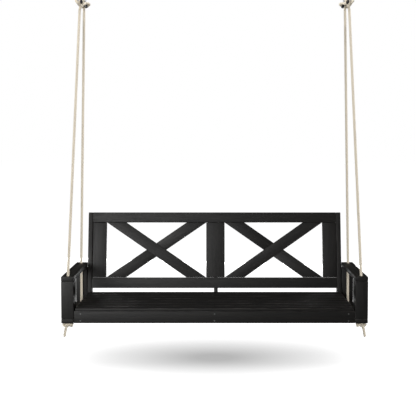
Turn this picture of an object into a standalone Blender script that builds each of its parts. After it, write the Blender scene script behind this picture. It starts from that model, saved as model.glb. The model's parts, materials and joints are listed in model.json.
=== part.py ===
"""A hanging porch swing: a slatted bench with two box arms and a crossed back, held by four ropes.

Each rope is stopped by a knot under an arm, runs up through that arm and is hitched to a snap hook,
and the two hooks hang in eye plates on the ceiling. Bench coordinates put Y = 0 on the arms' front
faces, growing backwards, and Z = 0 on the bench's underside. World coordinates have their origin in
the ceiling plane, midway between the two eye plates.
"""

import math

import bmesh
import bpy
from mathutils import Matrix, Vector

# Driving dimensions, in metres.
WIDTH = 1.600  # over the arms
GAP = 0.0003  # between pieces that touch
EDGE = 0.002  # eased edge of every board
CEILING = 1.8115  # ceiling plane above the bench's underside
HANG_BACK = 0.3205  # hang points behind the arms' front faces, over the centre of mass

ARM_WIDTH = 0.065
ARM_LENGTH = 0.515
ARM_HEIGHT = 0.245
CAP_THICK = 0.025
BASE_THICK = 0.0225
POST_DEPTHS = {"front": 0.085, "rear": 0.030}

SEAT_TOP = 0.0788
SLAT_THICK = 0.0145
SLAT_WIDTH = 0.065
SLAT_PITCH = 0.0676
SLAT_COUNT = 7
SLAT_FRONT = 0.002
SLAT_SHORT = 0.008  # slat end to the arm's inner face
RAIL_THICK = 0.025
RAIL_HEIGHT = 0.0635
APRON_FRONT = 0.004
REAR_RAIL_BACK = 0.473
BEARER_WIDTH = 0.050

RECLINE = math.radians(9.4)
BACK_DEPTH = 0.4755  # front plane of the back, where it passes the seat's top
BACK_TOP = 0.458  # everything below is measured up along the reclined back from the seat's top
TOP_RAIL_WIDTH = 0.058
LOW_RAIL_START = 0.021
LOW_RAIL_WIDTH = 0.061
PANEL_THICK = 0.025
RAIL_PROUD = 0.008  # rails in front of the stiles and braces
STILE_WIDTH = 0.081
CENTRE_STILE_WIDTH = 0.107
CENTRE_STILE_X = 0.005
BRACE_CUT = 0.114  # length of a brace's level cut against a rail
UPRIGHT_INNER = 0.7085
UPRIGHT_THICK = 0.025
PANEL_HALF = UPRIGHT_INNER - GAP
UPRIGHT_DEPTH = 0.055
CENTRE_UPRIGHT_THICK = 0.022
CENTRE_UPRIGHT_X = 0.0075

ROPE = 0.014  # diameter
ROPE_HOLE = 0.017
ROPE_INSETS = {"front": 0.029, "rear": 0.0385}  # rope centre from that end of the arm
ROPE_CLEAR = 0.003  # height above the arm at which a rope starts to lean
ROPE_STEPS = (1, 1, 1, 2, 3, 3, 2, 1, 1, 1)  # steps of the rope's curve in each span
ROPE_RESOLUTION = 3

HANG_HALF = 0.730  # hang points from the middle
WIRE = 0.004  # radius of the hooks' and eyes' wire
PLATE = (0.045, 0.100, 0.006)
EYE_INNER = 0.011
EYE_LEG = 0.019  # plate's underside to the middle of the eye's half ring
HOOK_HALF = 0.020
HOOK_LENGTH = 0.072  # crown to bar, both at the wire's centre
HOOK_CORNER = 0.012
PIN_UP = 0.022  # gate pin above the bar
LUG_SHOULDER = 0.0155
LUG_TIP = 0.0255
NOSE_SHOULDER = 0.054
NOSE_TIP = 0.0455
GATE_LOW = 0.018
GATE_HIGH = 0.052
LOW_SLOT = 0.0285
HIGH_SLOT = 0.044
TONGUE_THICK = 0.0032
SLOT_WIDTH = 0.0038
PIN_RADIUS = 0.0015
PIN_HOLE = 0.0018
PIN_LENGTH = 0.0088

KNOT_SIZE = (0.029, 0.021, 0.0115)  # half sizes of a stopper knot
TAIL_END = (0.0225, 0.004, -0.080)  # a stopper knot's tail, outwards, back and up from the rope
HITCH_SPREAD = 0.0117  # hitch from the middle of its hook
RING_SPREAD = 0.0076
RING_RADIUS = 0.0113
RING_TUBE = 0.0067
HITCH_SIZE = (0.0110, 0.019, 0.014)
HITCH_DROP = 0.026  # hitch centre below the hook's bar
END_CAP_RADIUS = 0.0075
END_CAP_LENGTH = 0.018
END_CAP_START = 0.0095  # along the spare end, from its corner

CROWN_Z = -PLATE[2] - EYE_LEG - EYE_INNER + WIRE + GAP  # the hooks' upper hinge axis
BAR_Z = CROWN_Z - HOOK_LENGTH  # the ropes' hinge axis
INNER_FACE = WIDTH / 2 - ARM_WIDTH
ROPE_X = WIDTH / 2 - ARM_WIDTH / 2
BENCH_PLACE = Vector((0.0, -HANG_BACK, -CEILING))
SIDES = (("left", -1), ("right", 1))


def clear_scene():
    for old in list(bpy.data.objects):
        bpy.data.objects.remove(old)


def finish(name, colour, roughness, metallic=0.0):
    """A plain Principled material."""
    material = bpy.data.materials.new(name)
    material.use_nodes = True
    shader = material.node_tree.nodes["Principled BSDF"]
    shader.inputs["Base Color"].default_value = (*colour, 1.0)
    shader.inputs["Roughness"].default_value = roughness
    shader.inputs["Metallic"].default_value = metallic
    return material


def frame_empty(name, parent, place, tilt=0.0):
    """An empty that carries the pieces of one moving or tilted group."""
    empty = bpy.data.objects.new(name, None)
    bpy.context.collection.objects.link(empty)
    empty.parent = parent
    empty.location = place
    empty.rotation_euler = (tilt, 0.0, 0.0)
    return empty


def mesh_object(name, mesh_source, colour, parent, place=(0.0, 0.0, 0.0)):
    """An object from a bmesh, in its own node, with its material."""
    mesh = bpy.data.meshes.new(name)
    mesh_source.to_mesh(mesh)
    mesh_source.free()
    piece = bpy.data.objects.new(name, mesh)
    bpy.context.collection.objects.link(piece)
    piece.data.materials.append(finish(f"{name}_finish", *colour))
    piece.parent = parent
    piece.location = place
    return piece


def ease(piece, width=EDGE, segments=1):
    """Rounds the sharp edges of a board."""
    bevel = piece.modifiers.new("eased_edges", "BEVEL")
    bevel.width = width
    bevel.segments = segments
    bevel.limit_method = "ANGLE"
    bevel.angle_limit = math.radians(40)


def boolean(piece, cutter, operation="DIFFERENCE"):
    """Cuts or joins a guide object into a piece."""
    cutter.hide_render = True
    cutter.display_type = "WIRE"
    cut = piece.modifiers.new(f"{operation.lower()}_{cutter.name}", "BOOLEAN")
    cut.operation = operation
    cut.solver = "EXACT"
    cut.object = cutter


def guide(name, mesh_source, parent, place=(0.0, 0.0, 0.0)):
    """A helper object that only shapes a piece."""
    helper = mesh_object(name, mesh_source, BLACK_PAINT, parent, place)
    helper.hide_render = True
    helper.display_type = "WIRE"
    return helper


def box_mesh(low, high):
    shape = bmesh.new()
    bmesh.ops.create_cube(shape, size=1.0)
    low, high = Vector(low), Vector(high)
    bmesh.ops.scale(shape, vec=high - low, verts=shape.verts)
    bmesh.ops.translate(shape, vec=(low + high) / 2, verts=shape.verts)
    return shape


def rod_mesh(radius, start, end, sides):
    """A closed cylinder from one point to another."""
    start, end = Vector(start), Vector(end)
    shape = bmesh.new()
    bmesh.ops.create_cone(
        shape, cap_ends=True, segments=sides, radius1=radius, radius2=radius, depth=(end - start).length
    )
    turn = (end - start).to_track_quat("Z", "Y").to_matrix().to_4x4()
    bmesh.ops.transform(shape, matrix=Matrix.Translation((start + end) / 2) @ turn, verts=shape.verts)
    return shape


def ball_mesh(half_sizes, centre, rings=8, spokes=12):
    shape = bmesh.new()
    bmesh.ops.create_uvsphere(shape, u_segments=spokes, v_segments=rings, radius=1.0)
    bmesh.ops.scale(shape, vec=half_sizes, verts=shape.verts)
    bmesh.ops.translate(shape, vec=centre, verts=shape.verts)
    return shape


def outline_mesh(points, low_x, high_x):
    """A prism: an outline in Y and Z, extruded along X."""
    shape = bmesh.new()
    corners = [shape.verts.new((low_x, y, z)) for y, z in points]
    face = shape.faces.new(corners)
    made = bmesh.ops.extrude_face_region(shape, geom=[face])["geom"]
    moved = [v for v in made if isinstance(v, bmesh.types.BMVert)]
    bmesh.ops.translate(shape, vec=(high_x - low_x, 0.0, 0.0), verts=moved)
    bmesh.ops.recalc_face_normals(shape, faces=shape.faces)
    return shape


def board(name, low, high, parent):
    piece = mesh_object(name, box_mesh(low, high), BLACK_PAINT, parent)
    ease(piece)
    return piece


def smooth_route(points, steps):
    """Points along a Catmull-Rom curve through the given points, with a number of steps for each span."""
    points = [Vector(p) for p in points]
    ends = [2 * points[0] - points[1], *points, 2 * points[-1] - points[-2]]
    route = []
    for a, b, c, d, count in zip(ends, ends[1:], ends[2:], ends[3:], steps):
        for step in range(count):
            t = step / count
            cubic = (3 * b - 3 * c + d - a) * t**3
            route.append((2 * b + (c - a) * t + (2 * a - 5 * b + 4 * c - d) * t**2 + cubic) / 2)
    return [*route, points[-1]]


def tube(name, route, radius, colour, parent, resolution):
    """A closed tube along a route."""
    curve = bpy.data.curves.new(name, "CURVE")
    curve.dimensions = "3D"
    curve.bevel_depth = radius
    curve.bevel_resolution = resolution
    curve.use_fill_caps = True
    line = curve.splines.new("POLY")
    line.points.add(len(route) - 1)
    for point, place in zip(line.points, route):
        point.co = (*place, 1.0)
    piece = bpy.data.objects.new(name, curve)
    bpy.context.collection.objects.link(piece)
    curve.materials.append(finish(f"{name}_finish", *colour))
    piece.parent = parent
    return piece


def wire_mesh(route, radius, resolution):
    """A closed bent rod as a mesh, so that it can be cut and joined."""
    bent = tube("bent_wire", route, radius, STEEL, None, resolution)
    mesh = bpy.data.meshes.new_from_object(bent)
    curve = bent.data
    bpy.data.objects.remove(bent)
    bpy.data.curves.remove(curve)
    shape = bmesh.new()
    shape.from_mesh(mesh)
    bpy.data.meshes.remove(mesh)
    bmesh.ops.remove_doubles(shape, verts=shape.verts, dist=1e-5)
    bmesh.ops.recalc_face_normals(shape, faces=shape.faces)
    return shape


def rope_depth(end):
    """How far behind the arm's front face a rope runs."""
    return ROPE_INSETS["front"] if end == "front" else ARM_LENGTH - ROPE_INSETS["rear"]


def rope_holes(piece, side, low_z, high_z, parent, ends=("front", "rear")):
    """Drills rope holes through a piece of an arm."""
    for end in ends:
        start = (side * ROPE_X, rope_depth(end), low_z - 0.01)
        stop = (side * ROPE_X, rope_depth(end), high_z + 0.01)
        drill = guide(f"drill_{piece.name}_{end}", rod_mesh(ROPE_HOLE / 2, start, stop, 24), parent)
        boolean(piece, drill)


def make_arm(label, side, bench):
    """Box arm: cap and base, a deep front post with a rope down its middle, and a rear post behind a rope."""
    inner, outer = sorted((side * INNER_FACE, side * WIDTH / 2))
    cap_low = ARM_HEIGHT - CAP_THICK
    cap = board(f"arm_cap_{label}", (inner, 0.0, cap_low), (outer, ARM_LENGTH, ARM_HEIGHT), bench)
    base = board(f"arm_base_{label}", (inner, 0.0, 0.0), (outer, ARM_LENGTH, BASE_THICK), bench)
    rope_holes(cap, side, cap_low, ARM_HEIGHT, bench)
    rope_holes(base, side, 0.0, BASE_THICK, bench)
    for end, front in (("front", 0.0), ("rear", ARM_LENGTH - POST_DEPTHS["rear"])):
        low = (inner, front, BASE_THICK + GAP)
        high = (outer, front + POST_DEPTHS[end], cap_low - GAP)
        post = board(f"arm_{end}_post_{label}", low, high, bench)
        if end == "front":
            rope_holes(post, side, BASE_THICK, cap_low, bench, ends=("front",))


def make_seat(bench):
    """Seat: slats on three bearers between an apron and a rear rail."""
    rail_half = INNER_FACE - GAP
    apron_back = APRON_FRONT + RAIL_THICK
    rear_front = REAR_RAIL_BACK - RAIL_THICK
    board("seat_apron", (-rail_half, APRON_FRONT, 0.0), (rail_half, apron_back, RAIL_HEIGHT), bench)
    rear_high = (rail_half, REAR_RAIL_BACK, RAIL_HEIGHT)
    board("seat_rear_rail", (-rail_half, rear_front, 0.0), rear_high, bench)
    middle = rail_half - BEARER_WIDTH / 2
    for label, x in (("left", -middle), ("centre", 0.0), ("right", middle)):
        low = (x - BEARER_WIDTH / 2, apron_back + GAP, 0.0)
        high = (x + BEARER_WIDTH / 2, rear_front - GAP, RAIL_HEIGHT)
        board(f"seat_bearer_{label}", low, high, bench)
    slat_half = INNER_FACE - SLAT_SHORT
    for number in range(SLAT_COUNT):
        front = SLAT_FRONT + number * SLAT_PITCH
        low = (-slat_half, front, SEAT_TOP - SLAT_THICK)
        high = (slat_half, front + SLAT_WIDTH, SEAT_TOP)
        board(f"seat_slat_{number + 1}", low, high, bench)


def reclined(up, back):
    """Bench Y and Z of a point measured up along the back and square behind its front plane."""
    depth = BACK_DEPTH + up * math.sin(RECLINE) + back * math.cos(RECLINE)
    return depth, SEAT_TOP + up * math.cos(RECLINE) - back * math.sin(RECLINE)


def foot_points(rear_depth):
    """The foot of an upright: plumb behind the rear rail, then on the reclined front plane."""
    plumb = REAR_RAIL_BACK + GAP
    meets = SEAT_TOP + (plumb - BACK_DEPTH) / math.tan(RECLINE)
    rear_y, rear_z = reclined(0.0, rear_depth)
    toe = rear_y - rear_z * math.tan(RECLINE)
    return [(toe, 0.0), (plumb, 0.0), (plumb, meets)]


def make_uprights(bench):
    """Three uprights on edge: one at each side, and one behind the centre stile."""
    for label, side in SIDES:
        low_x, high_x = sorted((side * UPRIGHT_INNER, side * (UPRIGHT_INNER + UPRIGHT_THICK)))
        top = [reclined(BACK_TOP, 0.0), reclined(BACK_TOP, UPRIGHT_DEPTH)]
        shape = outline_mesh(foot_points(UPRIGHT_DEPTH) + top, low_x, high_x)
        ease(mesh_object(f"back_upright_{label}", shape, BLACK_PAINT, bench))
    seat_up = LOW_RAIL_START - GAP
    behind = PANEL_THICK + GAP
    notch = [reclined(seat_up, 0.0), reclined(seat_up, behind), reclined(BACK_TOP - EDGE, behind)]
    top = [reclined(BACK_TOP - EDGE, UPRIGHT_DEPTH)]
    half = CENTRE_UPRIGHT_THICK / 2
    outline = foot_points(UPRIGHT_DEPTH) + notch + top
    shape = outline_mesh(outline, CENTRE_UPRIGHT_X - half, CENTRE_UPRIGHT_X + half)
    ease(mesh_object("back_upright_centre", shape, BLACK_PAINT, bench))


def brace_mesh(opening, rising, front, back, spare=0.0):
    """A brace from corner to corner of an opening, cut level against both rails, widened by spare."""
    low_x, high_x, low_z, high_z = opening
    foot, head = (low_x, high_x - BRACE_CUT) if rising else (high_x - BRACE_CUT, low_x)
    wide = BRACE_CUT + spare
    corners = ((foot - spare, low_z), (foot + wide, low_z), (head + wide, high_z), (head - spare, high_z))
    shape = bmesh.new()
    face = shape.faces.new([shape.verts.new((x, front, z)) for x, z in corners])
    made = bmesh.ops.extrude_face_region(shape, geom=[face])["geom"]
    moved = [v for v in made if isinstance(v, bmesh.types.BMVert)]
    bmesh.ops.translate(shape, vec=(0.0, back - front, 0.0), verts=moved)
    bmesh.ops.recalc_face_normals(shape, faces=shape.faces)
    return shape


def make_cross(label, low_x, high_x, rising_in_front, panel):
    """Two braces half-lapped where they cross."""
    opening = (low_x, high_x, LOW_RAIL_START + LOW_RAIL_WIDTH + GAP, BACK_TOP - TOP_RAIL_WIDTH - GAP)
    front, back = RAIL_PROUD, PANEL_THICK
    half = (front + back) / 2
    for rising in (True, False):
        slope = "rising" if rising else "falling"
        shape = brace_mesh(opening, rising, front, back)
        brace = mesh_object(f"brace_{label}_{slope}", shape, BLACK_PAINT, panel)
        in_front = rising == rising_in_front
        # The lap takes the rear half of the brace that shows, and the front half of the other.
        lap_front, lap_back = (half - GAP / 2, back + 0.01) if in_front else (front - 0.01, half + GAP / 2)
        lap = brace_mesh(opening, not rising, lap_front, lap_back, spare=2 * GAP)
        boolean(brace, guide(f"lap_{label}_{slope}", lap, panel))


def make_panel(bench):
    """Reclined panel: two rails, three stiles and two crosses."""
    panel = frame_empty("back_panel_frame", bench, (0.0, BACK_DEPTH, SEAT_TOP), tilt=-RECLINE)
    rail_low = BACK_TOP - TOP_RAIL_WIDTH
    board("back_top_rail", (-PANEL_HALF, 0.0, rail_low), (PANEL_HALF, PANEL_THICK, BACK_TOP), panel)
    low_top = LOW_RAIL_START + LOW_RAIL_WIDTH
    low_high = (PANEL_HALF, PANEL_THICK, low_top)
    board("back_low_rail", (-PANEL_HALF, 0.0, LOW_RAIL_START), low_high, panel)
    centre_half = CENTRE_STILE_WIDTH / 2
    stiles = (
        ("left", -PANEL_HALF, STILE_WIDTH - PANEL_HALF),
        ("centre", CENTRE_STILE_X - centre_half, CENTRE_STILE_X + centre_half),
        ("right", PANEL_HALF - STILE_WIDTH, PANEL_HALF),
    )
    for label, low_x, high_x in stiles:
        low = (low_x, RAIL_PROUD, low_top + GAP)
        board(f"back_stile_{label}", low, (high_x, PANEL_THICK, rail_low - GAP), panel)
    make_cross("left", stiles[0][2] + GAP, stiles[1][1] - GAP, False, panel)
    make_cross("right", stiles[1][2] + GAP, stiles[2][1] - GAP, True, panel)


def make_rope(label, side, end, bench):
    """One rope, its stopper knot under the arm, its hitch on the hook and its end cap."""
    foot = Vector((side * ROPE_X, rope_depth(end), 0.0))
    outward = 1 if end == "front" else -1  # the front rope hangs on the outer half of the hook
    bar = Vector((side * HANG_HALF, HANG_BACK, CEILING + BAR_Z))
    hitch = bar + Vector((side * outward * HITCH_SPREAD, 0.0, -HITCH_DROP))
    head = hitch - Vector((0.0, outward * 0.003, HITCH_SIZE[2] + 0.001))
    up = Vector((0.0, 0.0, 1.0))
    cap_top = foot + up * (ARM_HEIGHT + ROPE_CLEAR)
    lean = (head - cap_top).normalized()
    heights = (-2 * GAP, BASE_THICK, ARM_HEIGHT / 2, ARM_HEIGHT - CAP_THICK, ARM_HEIGHT + ROPE_CLEAR)
    points = [foot + up * z for z in heights]
    points += [cap_top + lean * along for along in (0.03, 0.09, 0.3, 0.7, 1.1)] + [head]
    route = smooth_route(points, ROPE_STEPS)
    tube(f"rope_{end}_{label}", route, ROPE / 2, ROPE_FIBRE, bench, ROPE_RESOLUTION)

    knot_drop = KNOT_SIZE[2] + 3 * GAP
    knot = mesh_object(
        f"knot_{end}_{label}", ball_mesh(KNOT_SIZE, foot - up * knot_drop), ROPE_FIBRE, bench
    )
    tail_end = foot + Vector((side * TAIL_END[0], TAIL_END[1], TAIL_END[2]))
    tail_start = foot + Vector((side * TAIL_END[0] * 0.4, 0.0, -knot_drop))
    tail = guide(f"tail_{end}_{label}", rod_mesh(ROPE / 2, tail_start, tail_end, 12), bench)
    boolean(knot, tail, "UNION")

    body = mesh_object(f"hitch_{end}_{label}", ball_mesh(HITCH_SIZE, hitch), ROPE_FIBRE, bench)
    ring_x = bar.x + side * outward * RING_SPREAD
    ring = guide(f"bight_{end}_{label}", ring_mesh((ring_x, bar.y, bar.z)), bench)
    boolean(body, ring, "UNION")
    source, corner, lean = spare_end(bar, side, end)
    cap_start = corner + lean * END_CAP_START
    for part, start, stop in (("out", source, corner), ("down", corner, cap_start)):
        spare = guide(f"spare_{part}_{end}_{label}", rod_mesh(ROPE / 2 - GAP, start, stop, 12), bench)
        boolean(body, spare, "UNION")
    cap_shape = rod_mesh(END_CAP_RADIUS, cap_start + lean * GAP, cap_start + lean * END_CAP_LENGTH, 16)
    ease(mesh_object(f"end_cap_{end}_{label}", cap_shape, BLACK_CAP, bench), 0.0015)


def spare_end(bar, side, end):
    """A rope's spare end beside its hitch: where it leaves the bight, its corner, and how its tip leans."""
    if end == "front":
        source = bar + Vector((side * 0.0076, -0.009, 0.010))
        corner = bar + Vector((side * 0.0057, -0.029, 0.0202))
        return source, corner, Vector((-side * 0.33, -0.15, -0.93)).normalized()
    source = bar + Vector((-side * 0.0085, -0.0105, -0.006))
    corner = bar + Vector((-side * 0.0188, -0.0275, -0.0062))
    return source, corner, Vector((-side * 0.35, -0.10, -0.93)).normalized()


def ring_mesh(centre):
    """A ring round the hook's bar, about the X axis."""
    shape = bmesh.new()
    circle = bmesh.ops.create_circle(shape, cap_ends=False, segments=10, radius=RING_TUBE)["verts"]
    bmesh.ops.translate(shape, vec=(0.0, RING_RADIUS, 0.0), verts=circle)
    bmesh.ops.spin(
        shape,
        geom=shape.edges[:],
        cent=(0.0, 0.0, 0.0),
        axis=(1.0, 0.0, 0.0),
        angle=2 * math.pi,
        steps=16,
        use_merge=True,
    )
    bmesh.ops.recalc_face_normals(shape, faces=shape.faces)
    bmesh.ops.translate(shape, vec=centre, verts=shape.verts)
    return shape


def arc(centre, radius, start, stop, steps):
    """Points on an arc in the XZ plane, angles in degrees from +X towards +Z."""
    turns = [math.radians(start + (stop - start) * i / steps) for i in range(steps + 1)]
    return [(centre[0] + radius * math.cos(a), centre[1] + radius * math.sin(a)) for a in turns]


def make_hook(label, side, hook):
    """Snap hook round its bar: an oval of wire with a gate on its outer side, hinged on a pin."""
    flat = HOOK_HALF - HOOK_CORNER
    path = [(-HOOK_HALF, LUG_TIP), (-HOOK_HALF, (LUG_TIP + HOOK_CORNER) / 2)]
    path += arc((-flat, HOOK_CORNER), HOOK_CORNER, 180, 270, 6)
    path += arc((flat, HOOK_CORNER), HOOK_CORNER, 270, 360, 6)
    path += arc((0.0, HOOK_LENGTH - HOOK_HALF), HOOK_HALF, 0, 180, 14)
    path.append((-HOOK_HALF, NOSE_TIP))
    # The bar is HOOK_LENGTH below the empty, which sits on the crown's axis.
    route = [(-side * x, 0.0, z - HOOK_LENGTH) for x, z in path]
    body = mesh_object(f"snap_hook_{label}", wire_mesh(route, WIRE, 3), STEEL, hook)
    gate_x = side * HOOK_HALF
    floor = -HOOK_LENGTH
    for cheek, sign in (("front", -1), ("back", 1)):
        near, far = sorted((sign * TONGUE_THICK / 2, sign * 0.01))
        for tongue, low, high in (
            ("lug", LUG_SHOULDER, LUG_TIP + 0.005),
            ("nose", NOSE_TIP - 0.005, NOSE_SHOULDER),
        ):
            shape = box_mesh(
                (gate_x - 0.006, near, floor + low), (gate_x + 0.006, far, floor + high)
            )
            boolean(body, guide(f"{tongue}_{cheek}_{label}", shape, hook))
    pin_z = floor + PIN_UP
    bore = rod_mesh(PIN_HOLE, (gate_x, -0.01, pin_z), (gate_x, 0.01, pin_z), 16)
    pin_bore = guide(f"pin_bore_{label}", bore, hook)
    boolean(body, pin_bore)
    half = PIN_LENGTH / 2
    pin = rod_mesh(PIN_RADIUS, (gate_x, -half, pin_z), (gate_x, half, pin_z), 16)
    mesh_object(f"gate_pin_{label}", pin, STEEL, hook)

    hinge = frame_empty(f"gate_hinge_{label}", hook, (gate_x, 0.0, pin_z))
    rod = rod_mesh(WIRE, (0.0, 0.0, GATE_LOW - PIN_UP), (0.0, 0.0, GATE_HIGH - PIN_UP), 16)
    gate = mesh_object(f"snap_gate_{label}", rod, STEEL, hinge)
    for slot, low, high in (("low", GATE_LOW - 0.005, LOW_SLOT), ("high", HIGH_SLOT, GATE_HIGH + 0.005)):
        half = SLOT_WIDTH / 2
        shape = box_mesh((-0.006, -half, low - PIN_UP), (0.006, half, high - PIN_UP))
        boolean(gate, guide(f"{slot}_slot_{label}", shape, hinge))
    boolean(gate, guide(f"gate_bore_{label}", rod_mesh(PIN_HOLE, (0, -0.01, 0), (0, 0.01, 0), 16), hinge))


def make_eye_plate(label, side, ceiling):
    """Ceiling plate with an eye of wire below it, in the YZ plane."""
    x = side * HANG_HALF
    half_x, half_y = PLATE[0] / 2, PLATE[1] / 2
    shape = box_mesh((x - half_x, -half_y, -PLATE[2]), (x + half_x, half_y, 0.0))
    plate = mesh_object(f"eye_plate_{label}", shape, STEEL, ceiling)
    ease(plate, 0.001)
    radius = EYE_INNER + WIRE
    ring_z = -PLATE[2] - EYE_LEG
    route = [(x, radius, -PLATE[2] / 2)]
    route += [(x, y, z) for y, z in arc((0.0, ring_z), radius, 0, -180, 14)]
    route.append((x, -radius, -PLATE[2] / 2))
    boolean(plate, guide(f"eye_{label}", wire_mesh(route, WIRE, 3), ceiling), "UNION")
    for corner_x in (-1, 1):
        for corner_y in (-1, 1):
            place = (x + corner_x * (half_x - 0.010), corner_y * (half_y - 0.012))
            drill = rod_mesh(0.0028, (*place, -0.02), (*place, 0.01), 16)
            boolean(plate, guide(f"screw_hole_{label}_{corner_x}_{corner_y}", drill, ceiling))


clear_scene()
BLACK_PAINT = ((0.034, 0.032, 0.031), 0.55)
ROPE_FIBRE = ((0.64, 0.60, 0.52), 0.9)
BLACK_CAP = ((0.012, 0.012, 0.013), 0.35)
STEEL = ((0.62, 0.63, 0.65), 0.3, 1.0)

ceiling_frame = frame_empty("ceiling_frame", None, (0.0, 0.0, 0.0))
swing_frame = frame_empty("swing_axis", ceiling_frame, (0.0, 0.0, CROWN_Z))
bar_frame = frame_empty("bar_axis", swing_frame, (0.0, 0.0, BAR_Z - CROWN_Z))
bench_frame = frame_empty("bench_corner", bar_frame, BENCH_PLACE - Vector((0.0, 0.0, BAR_Z)))
for side_label, side_sign in SIDES:
    make_eye_plate(side_label, side_sign, ceiling_frame)
    hook_frame = frame_empty(f"hook_axis_{side_label}", swing_frame, (side_sign * HANG_HALF, 0.0, 0.0))
    make_hook(side_label, side_sign, hook_frame)
    make_arm(side_label, side_sign, bench_frame)
    for rope_end in ("front", "rear"):
        make_rope(side_label, side_sign, rope_end, bench_frame)
make_seat(bench_frame)
make_uprights(bench_frame)
make_panel(bench_frame)
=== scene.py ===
"""Looks of a hanging porch swing: stained boards, laid rope with its knots, and zinc-plated hooks.

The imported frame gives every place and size. World Z = 0 is the ceiling, X = 0 the middle of the
bench, and the seat faces -Y. Local coordinates on a rope's ends are (outwards, back, up).
"""

import bisect
import json
import math
import random

import bmesh
import bpy
from mathutils import Matrix, Vector


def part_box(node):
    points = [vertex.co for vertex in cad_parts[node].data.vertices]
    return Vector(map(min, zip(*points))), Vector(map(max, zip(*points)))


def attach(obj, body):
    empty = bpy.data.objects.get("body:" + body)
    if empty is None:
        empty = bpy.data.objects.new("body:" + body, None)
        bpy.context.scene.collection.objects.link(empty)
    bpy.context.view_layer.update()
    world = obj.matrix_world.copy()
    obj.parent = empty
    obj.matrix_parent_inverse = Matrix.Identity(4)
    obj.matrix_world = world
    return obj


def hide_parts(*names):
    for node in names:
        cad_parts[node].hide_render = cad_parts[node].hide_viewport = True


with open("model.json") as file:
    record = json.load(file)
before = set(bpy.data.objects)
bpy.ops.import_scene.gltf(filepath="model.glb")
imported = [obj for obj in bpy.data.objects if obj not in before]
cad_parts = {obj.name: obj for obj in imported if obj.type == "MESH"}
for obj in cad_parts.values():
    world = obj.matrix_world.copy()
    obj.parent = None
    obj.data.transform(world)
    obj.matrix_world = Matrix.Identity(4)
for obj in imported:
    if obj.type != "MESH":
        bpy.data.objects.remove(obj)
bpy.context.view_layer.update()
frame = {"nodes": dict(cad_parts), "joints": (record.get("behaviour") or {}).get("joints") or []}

SIDES = (("left", -1), ("right", 1))
ENDS = ("front", "rear")
UP = Vector((0.0, 0.0, 1.0))

# Places, from the frame.
ARM_LOW, ARM_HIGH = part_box("arm_base_right")[0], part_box("arm_cap_right")[1]
UNDERSIDE = ARM_LOW.z
ARM_FRONT = ARM_LOW.y
ARM_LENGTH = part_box("arm_cap_right")[1].y - ARM_FRONT
ARM_HEIGHT = ARM_HIGH.z - UNDERSIDE
CAP_THICK = ARM_HIGH.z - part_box("arm_cap_right")[0].z
BASE_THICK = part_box("arm_base_right")[1].z - UNDERSIDE
ROPE_X = (ARM_LOW.x + ARM_HIGH.x) / 2
JOINT_PLACES = {joint["name"]: Vector(joint["pos_m"]) for joint in frame["joints"]}
HANG_HALF = JOINT_PLACES["hook_right_swing"].x
BAR_Z = JOINT_PLACES["bench_swing"].z
WOOD = sorted(n for n in frame["nodes"] if n.startswith(("arm_", "seat_", "back_", "brace_")))

# Camera and room.
EYE_AHEAD = 4.4565  # of the arms' front faces
EYE_HEIGHT = 0.9913  # above the bench's underside
EYE_PITCH = math.radians(2.5)
LENS = 74.58
SENSOR = 36.0
SHIFT = (-0.0158, -0.0893)
WHITE = (1.0, 1.0, 1.0, 1.0)
SURROUND = 0.04  # brightness that lights the bench, where the camera sees plain white
FLOOR_DROP = 0.245  # floor below the bench's underside
FLOOR_HALF = 30.0
FLOOR_PAINT = (0.30, 0.30, 0.30, 1.0)
FLOOR_GLOW = (0.33, 1.0)  # the floor's glow under the bench and far from it; the dimmer glow under the bench is a painted shadow
SHADE_CENTRE = (0.0, 0.12, 0.0)
SHADE_SCALE = (1.0, 1.7, 0.0)
FADE = (0.1, 0.95)  # scaled distances between which the glow grows
LAMP_AIM = 0.3  # height above the underside that every lamp points at
LAMPS = (  # name, place, size, power, and whether it shows in gloss
    ("key", (-2.6, -3.6, -0.4), (2.4, 2.0), 160.0, True),
    ("fill", (2.6, -5.0, 0.4), (3.0, 3.0), 225.0, False),
    ("overhead", (0.0, 0.05, 0.7), (7.0, 3.6), 120.0, False),
    ("rear_strip", (0.6, 3.4, -1.94), (5.0, 0.22), 70.0, True),
)

# Colours.
STAIN_DARK = (0.0036, 0.0034, 0.0032, 1.0)
STAIN_BROWN = (0.0052, 0.0047, 0.0041, 1.0)
# edge grey: partly wear, partly a painted highlight on the edges
STAIN_WORN_AND_LIT_EDGE = (0.050, 0.046, 0.042, 1.0)
FIBRE_FRESH = (0.72, 0.66, 0.56, 1.0)
FIBRE_WORN = (0.58, 0.52, 0.41, 1.0)
# colour of the painted shade in the grooves between strands
FIBRE_GROOVE_SHADE = (0.20, 0.165, 0.115, 1.0)
SLEEVE_BLACK = (0.008, 0.008, 0.009, 1.0)
SLEEVE_SCUFFED = (0.022, 0.022, 0.023, 1.0)
ZINC_BRIGHT = (0.66, 0.67, 0.69, 1.0)
ZINC_DARK = (0.16, 0.16, 0.16, 1.0)
ZINC_BLACK = (0.02, 0.02, 0.02, 1.0)

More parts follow.
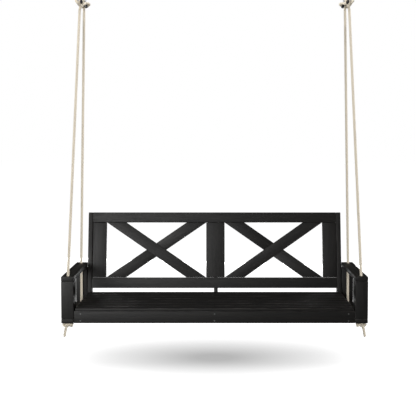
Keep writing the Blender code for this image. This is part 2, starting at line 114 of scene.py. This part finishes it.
# Rope.
ROPE = 0.014  # diameter
ROPE_INSETS = {"front": 0.029, "rear": 0.0385}  # rope centre from that end of the arm
ROPE_CLEAR = 0.003  # height above the arm at which a rope starts to lean
GAP = 0.0003  # between pieces that touch
LAY = 0.0255  # length of one whole turn of a strand
STRAND = 0.0036  # strand's radius
STRAND_OFF = STRAND * 2 / math.sqrt(3)  # its centre from the rope's, for three strands that touch
ROPE_SIDES = 30
RINGS_PER_LAY = 16
SAMPLE = 0.001  # spacing of the points that a route is read at
TIP_LENGTH = 0.0065  # of a cut end's rounding
MERGE = 1e-6  # points closer than this are one
LEAN_HOLDS = (0.03, 0.09, 0.3, 0.7, 1.1)  # distances up the lean at which the route is held straight
HEAD_OUT = 0.0117  # top of a rope to the side of its hook's middle
HEAD_APART = 0.003  # front ropes this far ahead of the bar and rear ropes behind it
HEAD_DROP = 0.041  # below the bar
HITCH_LAP = 0.0005  # a hitch starts this far above the rope's top
ROPE_SMOOTH = 60.0
BOARD_SMOOTH = 40.0

# Knots, hitches and sleeves. Points are in millimetres.
KNOT_NECK = 0.004
KNOT_DROP = 0.0125  # middle of the stopper knot below the bench's underside
KNOT_STEPS = 40
KNOT_OPENING = math.radians(16)
KNOT_SCALE = (8.2, 4.7, 4.6)
STOPPER_TAIL = ((9.0, -3.0, -22.0), (14.0, -1.0, -34.0), (18.0, 1.5, -52.0), (22.5, 4.0, -79.0))
HITCHES = {
    "front": (
        (10.8, 3.0, -30.0), (9.4, 9.5, -14.0), (8.2, 11.3, -1.0), (7.6, 7.0, 9.0),
        (7.6, -3.0, 11.2), (8.6, -11.2, 3.0), (15.0, -14.0, -3.0), (25.0, -12.0, 3.0),
        (31.0, -4.0, 11.0), (27.0, 6.0, 7.0), (18.0, 11.5, -8.0), (7.0, 13.0, -17.0),
        (-1.5, 7.0, -21.0), (-2.0, -7.0, -22.0), (2.5, -15.0, -15.0), (4.0, -19.0, -3.0),
        (3.4, -23.0, 8.0), (2.8, -28.5, 15.0), (0.4, -31.0, 8.0),
    ),
    "rear": (
        (-10.8, 7.0, -30.0), (-9.4, 11.0, -14.0), (-8.2, 11.3, -1.0), (-7.6, 7.0, 9.0),
        (-7.6, -3.0, 11.2), (-8.6, -11.4, 2.0), (-16.0, -14.0, -6.0), (-30.0, -11.0, -5.0),
        (-40.0, -3.0, -7.0), (-36.0, 6.0, -12.0), (-22.0, 11.5, -17.0), (-9.0, 13.0, -20.0),
        (-1.0, 6.0, -22.0), (-1.5, -8.0, -22.0), (-7.0, -17.0, -14.0), (-13.5, -22.5, -9.0),
        (-20.0, -27.0, -9.5), (-24.5, -28.6, -17.0),
    ),
}
SLEEVE_SIDES = 32
SLEEVE_PROFILE = (  # radius and height in metres
    (0.0, -0.001), (0.0066, -0.001), (0.0074, -0.0003), (0.0076, 0.0008), (0.0073, 0.0018),
    (0.0074, 0.0145), (0.0070, 0.0163), (0.0060, 0.0174), (0.0040, 0.0179), (0.0, 0.018),
)

# Boards.
RECLINE = math.radians(9.4)
FLAT_ANGLE = math.radians(0.5)  # faces closer in direction than this are one
EDGE_ANGLE = math.radians(30)  # edges sharper than this are softened
GRAIN_SLANT = Vector((0.3, -1.0, 0.2))  # turns the growth rings so that they cross no face squarely
GRAIN_SHIFT = Vector((1.7, 0.93, 0.41))  # from one board's grain to the next one's
SOFTENING = 0.0006  # second rounding of an eased edge
NARROW = 0.004  # faces thinner than this belong to a board's edges
RAIL_THICK = 0.025
# the bead is a dark stained strip in the low rail's joint that stands in for the shade there
BEAD_DEPTH = 0.010
BEAD_HEIGHT = 0.0010
BEAD_BACK = 0.004  # bead's middle behind the rail's
BEAD_SHORT = 0.004  # at each end
BEAD_EDGE = 0.0001

# Screws.
SCREW_HEAD = 0.0040  # radius
SCREW_SIDES = 24
SCREW_PROUD = 0.0002
SCREW_DEPTH = 0.0016
RIM_SHARE = 0.14  # of the radius, the sloped rim
RIM_RISE = 0.00012
DRIVE = 0.0017  # radius of the drive's ring
APRON_SCREWS = ((-0.7, 0.0, 0.7), (0.013, 0.049))  # places across, heights above the underside
SLAT_SCREW_OFF = 0.018  # from the slat's middle
RAIL_SCREW_OFF = 0.016  # from the rail's middle
POST_SCREW_OFF = 0.02  # from the arm's middle
POST_SCREW_DEPTH = 0.046  # behind the arm's front face

random.seed(7)


# ---------------------------------------------------------------- node and mesh helpers


def add(tree, kind, inputs=None, **settings):
    """A node with its settings, and its inputs given as numbers, colours or sockets."""
    made = tree.nodes.new(kind)
    for key, value in settings.items():
        setattr(made, key, value)
    for key, value in (inputs or {}).items():
        if isinstance(value, bpy.types.NodeSocket):
            tree.links.new(value, made.inputs[key])
        else:
            made.inputs[key].default_value = value
    return made


def new_finish(name, **shader_values):
    """A Principled material: its tree and its shader node."""
    material = bpy.data.materials.new(name)
    material.use_nodes = True
    shader = material.node_tree.nodes["Principled BSDF"]
    for key, value in shader_values.items():
        shader.inputs[key.replace("_", " ")].default_value = value
    return material, material.node_tree, shader


def noise(tree, vector, stretch, scale=1.0, detail=3.0, roughness=0.55):
    """A noise pattern on a vector that is stretched first."""
    stretched = add(tree, "ShaderNodeMapping", {"Vector": vector, "Scale": stretch})
    values = {"Vector": stretched.outputs[0], "Scale": scale, "Detail": detail, "Roughness": roughness}
    return add(tree, "ShaderNodeTexNoise", values).outputs["Fac"]


def ramp(tree, value, low, high, to_low=0.0, to_high=1.0):
    """A value mapped from one range to another, held at its ends."""
    values = {"Value": value, "From Min": low, "From Max": high, "To Min": to_low, "To Max": to_high}
    return add(tree, "ShaderNodeMapRange", values).outputs[0]


def maths(tree, operation, a, b=0.0):
    """One sum on two values."""
    return add(tree, "ShaderNodeMath", {0: a, 1: b}, operation=operation).outputs[0]


def blend_colour(tree, share, a, b, kind="MIX"):
    """Colour a turning into colour b."""
    made = add(tree, "ShaderNodeMix", data_type="RGBA", blend_type=kind)
    for index, value in ((0, share), (6, a), (7, b)):
        if isinstance(value, bpy.types.NodeSocket):
            tree.links.new(value, made.inputs[index])
        else:
            made.inputs[index].default_value = value
    return made.outputs[2]


def named(tree, attribute):
    """The vector and the factor of a mesh attribute."""
    read = add(tree, "ShaderNodeAttribute", attribute_name=attribute)
    return read.outputs["Vector"], read.outputs["Fac"]


def piece(name, shape, material, body, replaced=(), smooth=35.0):
    """An object from a bmesh, shaded, painted, and riding on its body."""
    mesh = bpy.data.meshes.new(name)
    shape.to_mesh(mesh)
    shape.free()
    mesh.shade_smooth()
    mesh.set_sharp_from_angle(angle=math.radians(smooth))
    mesh.materials.append(material)
    made = bpy.data.objects.new(name, mesh)
    bpy.context.scene.collection.objects.link(made)
    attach(made, body)
    if replaced:
        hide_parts(*replaced)
    return made


# ---------------------------------------------------------------- finishes


def black_stain():
    """Black stain on softwood: the grain shows as faint streaks, and the edges are greyed, partly as wear
    from handling and partly as a painted highlight where edges catch the light.
    """
    material, tree, shader = new_finish("black_stain", Specular_IOR_Level=0.5)
    along = named(tree, "grain")[0]
    edge = named(tree, "edge")[1]
    rings = noise(tree, along, (0.9, 17.0, 17.0), detail=2.0)
    rings = maths(tree, "PINGPONG", maths(tree, "MULTIPLY", rings, 9.0), 0.5)
    rings = ramp(tree, rings, 0.0, 0.5)
    fibres = noise(tree, along, (5.0, 420.0, 420.0), detail=4.0, roughness=0.65)
    pores = ramp(tree, noise(tree, along, (26.0, 1100.0, 1100.0), detail=1.0), 0.60, 0.68)
    patches = noise(tree, along, (2.0, 6.0, 6.0), detail=2.0)
    banding = ramp(tree, rings, 0.0, 1.0, 0.9, 1.1)
    streaks = maths(tree, "MULTIPLY", ramp(tree, fibres, 0.3, 0.7, 0.72, 1.22), banding)
    streaks = maths(tree, "MULTIPLY", streaks, ramp(tree, patches, 0.3, 0.7, 0.9, 1.12))
    streaks = maths(tree, "MULTIPLY", streaks, ramp(tree, pores, 0.0, 1.0, 1.0, 0.72))
    tint = blend_colour(tree, rings, STAIN_DARK, STAIN_BROWN)
    grey = {"Red": streaks, "Green": streaks, "Blue": streaks}
    shade = add(tree, "ShaderNodeCombineColor", grey).outputs[0]
    tint = blend_colour(tree, 1.0, tint, shade, "MULTIPLY")
    handling = noise(tree, along, (12.0, 60.0, 60.0))
    # edges greyed partly as handling wear and partly as a painted highlight where they catch the light
    edge_wear_and_highlight = maths(tree, "MULTIPLY", edge, ramp(tree, handling, 0.42, 0.72, 0.0, 0.5))
    tint = blend_colour(tree, edge_wear_and_highlight, tint, STAIN_WORN_AND_LIT_EDGE)
    tree.links.new(tint, shader.inputs["Base Color"])
    tree.links.new(ramp(tree, fibres, 0.3, 0.7, 0.66, 0.5), shader.inputs["Roughness"])
    height = maths(tree, "ADD", maths(tree, "MULTIPLY", rings, 0.35), fibres)
    height = maths(tree, "SUBTRACT", height, maths(tree, "MULTIPLY", pores, 0.8))
    relief = add(tree, "ShaderNodeBump", {"Strength": 0.5, "Distance": 0.0004, "Height": height})
    tree.links.new(relief.outputs[0], shader.inputs["Normal"])
    return material


def laid_fibre(name, fresh, worn):
    """Natural rope: yarns that run with the rope's axis, painted shade in the grooves between strands, and
    stray pale fibres.
    """
    material, tree, shader = new_finish(name, Specular_IOR_Level=0.25, Sheen_Weight=0.25, Sheen_Roughness=0.5)
    straight = named(tree, "straight")[0]
    yarns = noise(tree, straight, (1500.0, 1500.0, 70.0), detail=2.0)
    fuzz = noise(tree, straight, (3500.0, 3500.0, 900.0), detail=2.0, roughness=0.7)
    soiling = noise(tree, straight, (60.0, 60.0, 9.0), detail=3.0)
    parts = add(tree, "ShaderNodeSeparateXYZ", {0: straight}).outputs
    flat = add(tree, "ShaderNodeCombineXYZ", {0: parts[0], 1: parts[1]}).outputs[0]
    radius = add(tree, "ShaderNodeVectorMath", {0: flat}, operation="LENGTH").outputs["Value"]
    crest = ramp(tree, radius, 0.5 * ROPE * 0.45, 0.5 * ROPE * 0.95)
    tint = blend_colour(tree, ramp(tree, yarns, 0.35, 0.65), worn, fresh)
    tint = blend_colour(tree, ramp(tree, soiling, 0.5, 0.75, 0.0, 0.3), tint, worn)
    # painted shade: the colour darkens towards the grooves between strands
    tint = blend_colour(tree, ramp(tree, crest, 0.0, 1.0, 0.8, 0.0), tint, FIBRE_GROOVE_SHADE)
    tree.links.new(tint, shader.inputs["Base Color"])
    tree.links.new(ramp(tree, fuzz, 0.3, 0.7, 0.82, 0.96), shader.inputs["Roughness"])
    height = maths(tree, "ADD", yarns, maths(tree, "MULTIPLY", fuzz, 0.5))
    relief = add(tree, "ShaderNodeBump", {"Strength": 0.6, "Distance": 0.0005, "Height": height})
    tree.links.new(relief.outputs[0], shader.inputs["Normal"])
    return material


def bright_zinc(name, colour, rough, mottling):
    """Zinc plate: a soft spangle, fine rub marks, and grey bloom."""
    material, tree, shader = new_finish(name, Metallic=0.75)
    place = add(tree, "ShaderNodeTexCoord").outputs["Object"]
    spangle = noise(tree, place, (160.0, 160.0, 160.0), detail=3.0)
    rubs = noise(tree, place, (900.0, 900.0, 90.0), detail=2.0)
    dull = tuple(c * 0.62 for c in colour[:3]) + (1.0,)
    tint = blend_colour(tree, ramp(tree, spangle, 0.35, 0.7, 0.0, mottling), colour, dull)
    tree.links.new(tint, shader.inputs["Base Color"])
    bloom = ramp(tree, spangle, 0.3, 0.7, rough, rough + 0.16)
    roughness = maths(tree, "ADD", bloom, ramp(tree, rubs, 0.4, 0.8, 0.0, 0.08))
    tree.links.new(roughness, shader.inputs["Roughness"])
    relief = add(tree, "ShaderNodeBump", {"Strength": 0.25, "Distance": 0.0001, "Height": rubs})
    tree.links.new(relief.outputs[0], shader.inputs["Normal"])
    return material


def shrunk_sleeve():
    """Black heat-shrunk sleeve, satin, with fine scuffs."""
    material, tree, shader = new_finish("shrunk_sleeve", Specular_IOR_Level=0.5)
    place = add(tree, "ShaderNodeTexCoord").outputs["Object"]
    scuffs = noise(tree, place, (700.0, 700.0, 700.0), detail=3.0)
    tint = blend_colour(tree, ramp(tree, scuffs, 0.45, 0.75), SLEEVE_BLACK, SLEEVE_SCUFFED)
    tree.links.new(tint, shader.inputs["Base Color"])
    tree.links.new(ramp(tree, scuffs, 0.3, 0.7, 0.26, 0.42), shader.inputs["Roughness"])
    relief = add(tree, "ShaderNodeBump", {"Strength": 0.2, "Distance": 0.0002, "Height": scuffs})
    tree.links.new(relief.outputs[0], shader.inputs["Normal"])
    return material


# ---------------------------------------------------------------- room and camera


def make_floor():
    """Pale floor that takes the bench's soft shadow, deepened by a painted shadow where its glow is dimmer
    near the bench, and fades into the surround further out.
    """
    shape = bmesh.new()
    bmesh.ops.create_grid(shape, x_segments=1, y_segments=1, size=FLOOR_HALF)
    bmesh.ops.translate(shape, vec=(0.0, 0.0, UNDERSIDE - FLOOR_DROP), verts=shape.verts)
    mesh = bpy.data.meshes.new("studio_floor")
    shape.to_mesh(mesh)
    shape.free()
    material, tree, shader = new_finish("pale_floor", Roughness=1.0, Specular_IOR_Level=0.0)
    place = add(tree, "ShaderNodeTexCoord").outputs["Object"]
    scaled = {"Vector": place, "Location": SHADE_CENTRE, "Scale": SHADE_SCALE}
    flat = add(tree, "ShaderNodeMapping", scaled).outputs[0]
    away = add(tree, "ShaderNodeVectorMath", {0: flat}, operation="LENGTH").outputs["Value"]
    # painted shadow: the glow is dimmer near the bench and grows outwards
    glow = ramp(tree, away, *FADE, *FLOOR_GLOW)
    tree.links.new(glow, shader.inputs["Emission Strength"])
    shader.inputs["Emission Color"].default_value = WHITE
    shader.inputs["Base Color"].default_value = FLOOR_PAINT
    mesh.materials.append(material)
    floor = bpy.data.objects.new("studio_floor", mesh)
    bpy.context.scene.collection.objects.link(floor)
    floor.visible_diffuse = False
    floor.visible_glossy = False


def make_lights():
    """A dim surround that looks white, and large lamps."""
    world = bpy.data.worlds.new("studio_surround")
    bpy.context.scene.world = world
    world.use_nodes = True
    tree = world.node_tree
    dim = tree.nodes["Background"]
    dim.inputs["Color"].default_value = WHITE
    dim.inputs["Strength"].default_value = SURROUND
    white = add(tree, "ShaderNodeBackground", {"Color": WHITE, "Strength": 1.0})
    path = add(tree, "ShaderNodeLightPath")
    choice = {0: path.outputs["Is Camera Ray"], 1: dim.outputs[0], 2: white.outputs[0]}
    chosen = add(tree, "ShaderNodeMixShader", choice)
    tree.links.new(chosen.outputs[0], tree.nodes["World Output"].inputs["Surface"])
    for name, place, size, power, glossy in LAMPS:
        lamp = bpy.data.lights.new(name, "AREA")
        lamp.shape = "RECTANGLE"
        lamp.size, lamp.size_y = size
        lamp.energy = power
        holder = bpy.data.objects.new(name, lamp)
        bpy.context.scene.collection.objects.link(holder)
        holder.location = place
        aim = Vector((0.0, 0.0, UNDERSIDE + LAMP_AIM)) - holder.location
        holder.rotation_euler = aim.to_track_quat("-Z", "Y").to_euler()
        holder.visible_camera = False
        holder.visible_glossy = glossy


def make_camera():
    """A camera in front of the bench that looks slightly down."""
    camera = bpy.data.cameras.new("camera")
    camera.lens = LENS
    camera.sensor_width = SENSOR
    camera.shift_x, camera.shift_y = SHIFT
    holder = bpy.data.objects.new("camera", camera)
    bpy.context.scene.collection.objects.link(holder)
    holder.location = (0.0, ARM_FRONT - EYE_AHEAD, UNDERSIDE + EYE_HEIGHT)
    holder.rotation_euler = (math.pi / 2 - EYE_PITCH, 0.0, 0.0)
    bpy.context.scene.camera = holder


# ---------------------------------------------------------------- ropes


def smooth_route(points):
    """Closely spaced points along a smooth curve through the given points."""
    points = [Vector(p) for p in points]
    ends = [2 * points[0] - points[1], *points, 2 * points[-1] - points[-2]]
    route = []
    for a, b, c, d in zip(ends, ends[1:], ends[2:], ends[3:]):
        count = max(2, round((c - b).length / SAMPLE))
        for step in range(count):
            t = step / count
            cubic = (3 * b - 3 * c + d - a) * t**3
            route.append((2 * b + (c - a) * t + (2 * a - 5 * b + 4 * c - d) * t**2 + cubic) / 2)
    return [*route, points[-1]]


class Line:
    """A route read by its length, with a frame at each point that turns no more than the route does."""

    def __init__(self, route):
        self.points = route
        self.along = [0.0]
        for a, b in zip(route, route[1:]):
            self.along.append(self.along[-1] + (b - a).length)
        heading = (route[1] - route[0]).normalized()
        self.turns = [UP.rotation_difference(heading)]
        for index in range(1, len(route)):
            new = (route[min(index + 1, len(route) - 1)] - route[index - 1]).normalized()
            self.turns.append(heading.rotation_difference(new) @ self.turns[-1])
            heading = new
        self.length = self.along[-1]

    def at(self, length):
        """The point and the turn at a length along the line."""
        index = min(max(bisect.bisect_right(self.along, length) - 1, 0), len(self.points) - 2)
        span = self.along[index + 1] - self.along[index]
        share = min(max((length - self.along[index]) / span, 0.0), 1.0)
        place = self.points[index].lerp(self.points[index + 1], share)
        return place, self.turns[index].slerp(self.turns[index + 1], share)


def strand_reach(angle):
    """Distance from the rope's axis to its surface, for three touching strands."""
    off = angle % (2 * math.pi / 3) - math.pi / 3
    across = STRAND_OFF * math.sin(off)
    return STRAND_OFF * math.cos(off) + math.sqrt(max(STRAND**2 - across**2, 0.0))


def laid_rope(line, blunt=False):
    """A grid rolled into three twisted strands and laid along a line.

    A blunt end is drawn in to a round tip.
    """
    rings = max(4, round(line.length / LAY * RINGS_PER_LAY))
    shape = bmesh.new()
    bmesh.ops.create_grid(shape, x_segments=ROPE_SIDES, y_segments=rings, size=0.5)
    stations = [line.at(line.length * ring / rings) for ring in range(rings + 1)]
    straight = shape.verts.layers.float_vector.new("straight")
    for corner in shape.verts:
        ring = round((corner.co.y + 0.5) * rings)
        height = line.length * ring / rings
        around = (corner.co.x + 0.5) * 2 * math.pi
        turned_by = around + height / LAY * 2 * math.pi
        reach = strand_reach(around)
        corner[straight] = (reach * math.cos(turned_by), reach * math.sin(turned_by), height)
        if blunt:
            left = min((line.length - height) / TIP_LENGTH, 1.0)
            reach *= math.sqrt(max(1 - (1 - left) ** 2, 0.1))
        place, turn = stations[ring]
        corner.co = place + turn @ Vector((reach * math.cos(turned_by), reach * math.sin(turned_by), 0.0))
    bmesh.ops.remove_doubles(shape, verts=shape.verts, dist=MERGE)
    bmesh.ops.holes_fill(shape, edges=[e for e in shape.edges if e.is_boundary], sides=0)
    bmesh.ops.recalc_face_normals(shape, faces=shape.faces)
    return shape, [place for place, _ in stations]


def local(anchor, side, points):
    """Points given as (outwards, back, up) in millimetres from an anchor."""
    return [anchor + Vector((side * out, back, up)) / 1000 for out, back, up in points]


def overhand(centre, side):
    """The route of an overhand knot pulled flat, opened on its inner side."""
    route = []
    wide, deep, high = KNOT_SCALE
    for step in range(KNOT_STEPS + 1):
        t = math.pi / 3 + KNOT_OPENING + (2 * math.pi - 2 * KNOT_OPENING) * step / KNOT_STEPS
        reach = 2 + math.cos(3 * t)
        out, back, up = reach * math.cos(2 * t) * wide, reach * math.sin(2 * t) * deep, high * math.sin(3 * t)
        route.append(centre + Vector((side * out, back, up)) / 1000)
    return route


def make_rope(label, side, end):
    """One rope: its standing part, its stopper knot, its hitch on the hook and its capped end."""
    spot = f"{end}_{label}"
    front = end == "front"
    depth = ROPE_INSETS["front"] if front else ARM_LENGTH - ROPE_INSETS["rear"]
    foot = Vector((side * ROPE_X, ARM_FRONT + depth, UNDERSIDE))
    bar = Vector((side * HANG_HALF, 0.0, BAR_Z))
    outward = 1 if front else -1
    head = bar + Vector((side * outward * HEAD_OUT, -outward * HEAD_APART, -HEAD_DROP))
    leaning = foot + UP * (ARM_HEIGHT + ROPE_CLEAR)
    lean = (head - leaning).normalized()
    heights = (-2 * GAP, BASE_THICK, ARM_HEIGHT / 2, ARM_HEIGHT - CAP_THICK, ARM_HEIGHT + ROPE_CLEAR)
    points = [foot + UP * z for z in heights]
    points += [leaning + lean * along for along in LEAN_HOLDS] + [head]
    line = Line(smooth_route(points))
    shape, path = laid_rope(line)
    rope = piece(f"rope_{spot}_laid", shape, FIBRE, "bench", [f"rope_{spot}"], ROPE_SMOOTH)

    knot_points = [foot - UP * 3 * GAP, foot - UP * KNOT_NECK] + overhand(foot - UP * KNOT_DROP, side)
    knot_points += local(foot, side, STOPPER_TAIL)
    shape, _ = laid_rope(Line(smooth_route(knot_points)), blunt=True)
    knot = piece(f"knot_{spot}_tied", shape, FIBRE, "bench", [f"knot_{spot}"], ROPE_SMOOTH)

    hitch_line = Line(smooth_route([head + UP * HITCH_LAP] + local(bar, side, HITCHES[end])))
    shape, _ = laid_rope(hitch_line)
    hitch = piece(f"hitch_{spot}_tied", shape, FIBRE, "bench", [f"hitch_{spot}"], ROPE_SMOOTH)

    shape = sleeve(*hitch_line.at(hitch_line.length))
    cap = piece(f"end_cap_{spot}_shrunk", shape, SLEEVE, "bench", [f"end_cap_{spot}"])


def sleeve(tip, turn):
    """A sleeve shrunk over a rope's end: a turned skin with a rolled lip and a domed end."""
    return turned(SLEEVE_PROFILE, SLEEVE_SIDES, Matrix.Translation(tip) @ turn.to_matrix().to_4x4())


def turned(profile, steps, place):
    """A profile of (radius, height) spun round the Z axis and put in place."""
    shape = bmesh.new()
    corners = [shape.verts.new((radius, 0.0, height)) for radius, height in profile]
    edges = [shape.edges.new(pair) for pair in zip(corners, corners[1:])]
    bmesh.ops.spin(
        shape,
        geom=corners + edges,
        cent=(0.0, 0.0, 0.0),
        axis=UP,
        angle=2 * math.pi,
        steps=steps,
        use_merge=True,
    )
    bmesh.ops.remove_doubles(shape, verts=shape.verts, dist=MERGE)
    bmesh.ops.recalc_face_normals(shape, faces=shape.faces)
    bmesh.ops.transform(shape, matrix=place, verts=shape.verts)
    return shape


# ---------------------------------------------------------------- boards


def board_axes(node):
    """A board's own axes: along its grain, across, and through, in world coordinates."""
    if node.startswith("brace_"):
        low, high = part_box(node)
        rising = node.endswith("rising")
        along = Vector(((high.x - low.x) * (1 if rising else -1), high.y - low.y, high.z - low.z))
    elif "stile" in node or "upright" in node:
        along = Vector((0.0, math.sin(RECLINE), math.cos(RECLINE)))
    elif "post" in node:
        along = UP.copy()
    elif node.startswith(("arm_", "seat_bearer")):
        along = Vector((0.0, 1.0, 0.0))
    else:
        along = Vector((1.0, 0.0, 0.0))
    along.normalize()
    through = along.cross(GRAIN_SLANT).normalized()
    return along, through.cross(along).normalized(), through


def make_board(node, number):
    """A stained board: the merged CAD shape, softened again along its edges."""
    shape = bmesh.new()
    shape.from_mesh(frame["nodes"][node].data)
    bmesh.ops.remove_doubles(shape, verts=shape.verts, dist=1e-5)
    bmesh.ops.dissolve_limit(
        shape, angle_limit=FLAT_ANGLE, verts=shape.verts, edges=shape.edges, delimit=set()
    )
    sharp = [e for e in shape.edges if e.is_manifold and e.calc_face_angle() > EDGE_ANGLE]
    bmesh.ops.bevel(
        shape,
        geom=sharp,
        offset=SOFTENING,
        offset_type="OFFSET",
        affect="EDGES",
        segments=2,
        profile=0.5,
        material=-1,
        clamp_overlap=True,
    )
    grain = shape.verts.layers.float_vector.new("grain")
    edge = shape.faces.layers.float.new("edge")
    axes = board_axes(node)
    shift = GRAIN_SHIFT * number
    for corner in shape.verts:
        corner[grain] = Vector([corner.co.dot(axis) for axis in axes]) + shift
    for face in shape.faces:
        # marks the narrow edge faces, which the stain greys as wear and as a painted highlight
        face[edge] = float(2 * face.calc_area() / face.calc_perimeter() < NARROW)
    return piece(f"{node}_stained", shape, STAIN, "bench", [node], BOARD_SMOOTH)


def joint_shade_strip():
    """A dark stained strip in the joint between the low rail and the stiles and braces that stand on it: a
    dark sheet that stands in for the shade in the joint.
    """
    low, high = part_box("back_low_rail")
    width = (high.z - low.z - RAIL_THICK * math.sin(RECLINE)) / math.cos(RECLINE)
    tilt = Matrix.Rotation(-RECLINE, 4, "X")
    shape = bmesh.new()
    bmesh.ops.create_cube(shape, size=1.0)
    bmesh.ops.scale(shape, vec=(high.x - low.x - 2 * BEAD_SHORT, BEAD_DEPTH, BEAD_HEIGHT), verts=shape.verts)
    bmesh.ops.translate(shape, vec=(0.0, BEAD_BACK, width / 2 + GAP - BEAD_HEIGHT / 2), verts=shape.verts)
    bmesh.ops.bevel(
        shape,
        geom=shape.edges[:],
        offset=BEAD_EDGE,
        affect="EDGES",
        segments=1,
        profile=0.5,
        material=-1,
    )
    bmesh.ops.transform(shape, matrix=Matrix.Translation((low + high) / 2) @ tilt, verts=shape.verts)
    grain = shape.verts.layers.float_vector.new("grain")
    shape.faces.layers.float.new("edge")
    for corner in shape.verts:
        corner[grain] = corner.co
    return piece("joint_shade_strip", shape, STAIN, "bench")


# ---------------------------------------------------------------- screws


def screw_heads(name, places, facing, finish):
    """Flat round heads with a sloped rim and a drive's ring, at places on a face that looks along facing."""
    shape = bmesh.new()
    turn = UP.rotation_difference(Vector(facing)).to_matrix().to_4x4()
    for place in places:
        head = bmesh.new()
        rim = bmesh.ops.create_circle(head, cap_ends=True, segments=SCREW_SIDES, radius=SCREW_HEAD)["verts"]
        face = rim[0].link_faces[0]
        made = bmesh.ops.extrude_face_region(head, geom=[face])["geom"]
        top = [v for v in made if isinstance(v, bmesh.types.BMVert)]
        bmesh.ops.translate(head, vec=(0.0, 0.0, SCREW_DEPTH), verts=top)
        lid = [f for f in made if isinstance(f, bmesh.types.BMFace)]
        rim_width = SCREW_HEAD * RIM_SHARE
        bmesh.ops.inset_region(head, faces=lid, thickness=rim_width, depth=RIM_RISE, use_even_offset=True)
        lid = [max(head.faces, key=lambda f: f.calc_center_median().z)]
        ring_width = SCREW_HEAD * (1 - RIM_SHARE) - DRIVE
        bmesh.ops.inset_region(head, faces=lid, thickness=ring_width, use_even_offset=True)
        bmesh.ops.extrude_face_region(head, geom=lid)  # doubles the middle of the head in place
        bmesh.ops.recalc_face_normals(head, faces=head.faces)
        spin = Matrix.Rotation(random.uniform(0, math.pi / 3), 4, "Z")
        sunk = Matrix.Translation((0, 0, SCREW_PROUD - SCREW_DEPTH))
        seat = Matrix.Translation(Vector(place)) @ turn @ sunk
        bmesh.ops.transform(head, matrix=seat @ spin, verts=head.verts)
        mesh = bpy.data.meshes.new("one_screw")
        head.to_mesh(mesh)
        head.free()
        shape.from_mesh(mesh)
        bpy.data.meshes.remove(mesh)
    return piece(name, shape, finish, "bench")


def screw_bench():
    """Screws where a maker puts them: apron, slats, arms and the ends of the back's rails."""
    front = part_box("seat_apron")[0].y
    bearers = [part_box(f"seat_bearer_{place}") for place in ("left", "centre", "right")]
    across = [sum(corner.x for corner in box) / 2 for box in bearers]
    places = [(x, front, UNDERSIDE + z) for x in APRON_SCREWS[0] for z in APRON_SCREWS[1]]
    screw_heads("apron_screws", places, (0.0, -1.0, 0.0), SCREW_ZINC)
    places = []
    for slat in [node for node in WOOD if node.startswith("seat_slat")]:
        low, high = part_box(slat)
        offsets = (-SLAT_SCREW_OFF, SLAT_SCREW_OFF)
        places += [(x, (low.y + high.y) / 2 + off, high.z) for x in across for off in offsets]
    screw_heads("slat_screws", places, UP, SCREW_BLACK)
    for label, side in SIDES:
        outer = side * max(abs(corner.x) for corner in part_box(f"back_upright_{label}"))
        places = []
        for rail in ("back_top_rail", "back_low_rail"):
            middle = (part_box(rail)[0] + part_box(rail)[1]) / 2
            offsets = (-RAIL_SCREW_OFF, RAIL_SCREW_OFF)
            places += [(outer, middle.y + off * math.tan(RECLINE), middle.z + off) for off in offsets]
        screw_heads(f"upright_screws_{label}", places, (side, 0.0, 0.0), SCREW_BLACK)
        post_low, post_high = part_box(f"arm_rear_post_{label}")
        depths = (ARM_FRONT + POST_SCREW_DEPTH, (post_low.y + post_high.y) / 2)
        offsets = (-POST_SCREW_OFF, POST_SCREW_OFF)
        places = [(side * ROPE_X + off, y, UNDERSIDE) for y in depths for off in offsets]
        screw_heads(f"arm_screws_{label}", places, (0.0, 0.0, -1.0), SCREW_ZINC)


SCREW_ZINC = bright_zinc("screw_zinc", ZINC_DARK, 0.42, 0.8)
SCREW_BLACK = bright_zinc("blackened_screw", ZINC_BLACK, 0.42, 0.8)
ZINC = bright_zinc("bright_zinc", ZINC_BRIGHT, 0.24, 0.7)
FIBRE = laid_fibre("laid_fibre", FIBRE_FRESH, FIBRE_WORN)
SLEEVE = shrunk_sleeve()
STAIN = black_stain()

bpy.context.scene.view_settings.view_transform = "Standard"
make_camera()
make_floor()
make_lights()
for label, side in SIDES:
    for end in ENDS:
        make_rope(label, side, end)

for number, node in enumerate(WOOD):
    make_board(node, number)

joint_shade_strip()
screw_bench()

for node, model in frame["nodes"].items():
    if node.startswith(("eye_plate", "snap_", "gate_pin")):
        model.data.materials.clear()
        model.data.materials.append(ZINC)
        for polygon in model.data.polygons:
            polygon.material_index = 0
